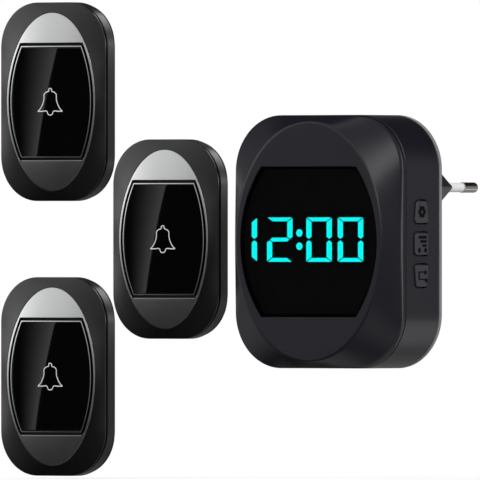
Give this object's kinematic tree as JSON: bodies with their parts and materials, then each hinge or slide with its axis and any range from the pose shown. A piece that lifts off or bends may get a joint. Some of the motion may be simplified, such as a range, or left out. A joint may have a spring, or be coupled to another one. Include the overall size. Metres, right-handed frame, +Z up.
{
  "type": "wireless doorbell set",
  "caption": "Wireless doorbell set: plug-in chime receiver with clock display and side keys, and flat wall push-button transmitters.",
  "frame": {"origin": "middle of the receiver's back face, on the plane of the wall", "axes": "+Z up, the fronts face -Y, +X to the right as seen from the front; the plug goes to +Y"},
  "size_m": [0.2069, 0.0666, 0.1835],
  "materials": {
    "receiver_black": "satin black",
    "rear_grey": "satin grey",
    "smoked_window": "smoked, polished",
    "module_black": "matt black",
    "lit_cyan": "lit",
    "board_green": "solder resist",
    "board_blue": "solder resist",
    "board_tan": "paper laminate",
    "screw_steel": "zinc plated",
    "copper_wire": "enamelled copper",
    "switch_black": "moulded",
    "key_black": "satin",
    "speaker_steel": "pressed sheet",
    "speaker_paper": "coated paper",
    "magnet_dark": "ferrite",
    "capacitor_yellow": "moulded",
    "capacitor_blue": "sleeved can",
    "pin_nickel": "nickel plated",
    "sleeve_white": "insulating sleeve",
    "back_black": "fine texture",
    "gasket_rubber": "soft",
    "case_charcoal": "satin",
    "bezel_black": "satin black",
    "trim_silver": "satin silver",
    "panel_gloss": "piano black",
    "plunger_red": "moulded",
    "cell_steel": "nickel plated",
    "clip_nickel": "spring strip"
  },
  "bodies": {
    "units": {"receiver_housing": "receiver_black", "receiver_rear_cover": "rear_grey", "display_window": "smoked_window", "display_module": "module_black", "display_segments": "lit_cyan", "main_board": "board_green", "board_screws": "screw_steel", "radio_module": "board_blue", "antenna_coil": "copper_wire", "side_key_board": "board_green", "key_switches": "switch_black", "speaker_frame": "speaker_steel", "speaker_cone": "speaker_paper", "speaker_magnet": "magnet_dark", "power_board": "board_tan", "film_capacitor": "capacitor_yellow", "storage_capacitor": "capacitor_blue", "plug_pins": "pin_nickel", "pin_sleeves": "sleeve_white", "case_screws": "screw_steel", "transmitter_1_rear_cover": "back_black", "transmitter_1_gasket": "gasket_rubber", "transmitter_1_body_case": "case_charcoal", "transmitter_1_bezel": "bezel_black", "transmitter_1_trim_plate": "trim_silver", "transmitter_1_board": "board_green", "transmitter_1_tact_switch": "switch_black", "transmitter_1_coin_cell": "cell_steel", "transmitter_1_battery_clip": "clip_nickel", "transmitter_2_rear_cover": "back_black", "transmitter_2_gasket": "gasket_rubber", "transmitter_2_body_case": "case_charcoal", "transmitter_2_bezel": "bezel_black", "transmitter_2_trim_plate": "trim_silver", "transmitter_2_board": "board_green", "transmitter_2_tact_switch": "switch_black", "transmitter_2_coin_cell": "cell_steel", "transmitter_2_battery_clip": "clip_nickel", "transmitter_3_rear_cover": "back_black", "transmitter_3_gasket": "gasket_rubber", "transmitter_3_body_case": "case_charcoal", "transmitter_3_bezel": "bezel_black", "transmitter_3_trim_plate": "trim_silver", "transmitter_3_board": "board_green", "transmitter_3_tact_switch": "switch_black", "transmitter_3_coin_cell": "cell_steel", "transmitter_3_battery_clip": "clip_nickel"},
    "upper_key": {"upper_key": "key_black", "upper_key_plunger": "switch_black"},
    "middle_key": {"middle_key": "key_black", "middle_key_plunger": "switch_black"},
    "lower_key": {"lower_key": "key_black", "lower_key_plunger": "switch_black"},
    "transmitter_1_button": {"transmitter_1_push_panel": "panel_gloss", "transmitter_1_switch_plunger": "plunger_red"},
    "transmitter_2_button": {"transmitter_2_push_panel": "panel_gloss", "transmitter_2_switch_plunger": "plunger_red"},
    "transmitter_3_button": {"transmitter_3_push_panel": "panel_gloss", "transmitter_3_switch_plunger": "plunger_red"}
  },
  "joints": [
    {"name": "upper_key_press", "type": "slide", "parent": "units", "child": "upper_key", "axis": [-1, 0, 0], "range_m": [0, 0.0004], "stiffness_N_per_m": 300, "springref_m": -0.004},
    {"name": "middle_key_press", "type": "slide", "parent": "units", "child": "middle_key", "axis": [-1, 0, 0], "range_m": [0, 0.0004], "stiffness_N_per_m": 300, "springref_m": -0.004},
    {"name": "lower_key_press", "type": "slide", "parent": "units", "child": "lower_key", "axis": [-1, 0, 0], "range_m": [0, 0.0004], "stiffness_N_per_m": 300, "springref_m": -0.004},
    {"name": "transmitter_1_press", "type": "slide", "parent": "units", "child": "transmitter_1_button", "axis": [0, 1, 0], "range_m": [0, 0.0005], "stiffness_N_per_m": 400, "springref_m": -0.005},
    {"name": "transmitter_2_press", "type": "slide", "parent": "units", "child": "transmitter_2_button", "axis": [0, 1, 0], "range_m": [0, 0.0005], "stiffness_N_per_m": 400, "springref_m": -0.005},
    {"name": "transmitter_3_press", "type": "slide", "parent": "units", "child": "transmitter_3_button", "axis": [0, 1, 0], "range_m": [0, 0.0005], "stiffness_N_per_m": 400, "springref_m": -0.005}
  ]
}
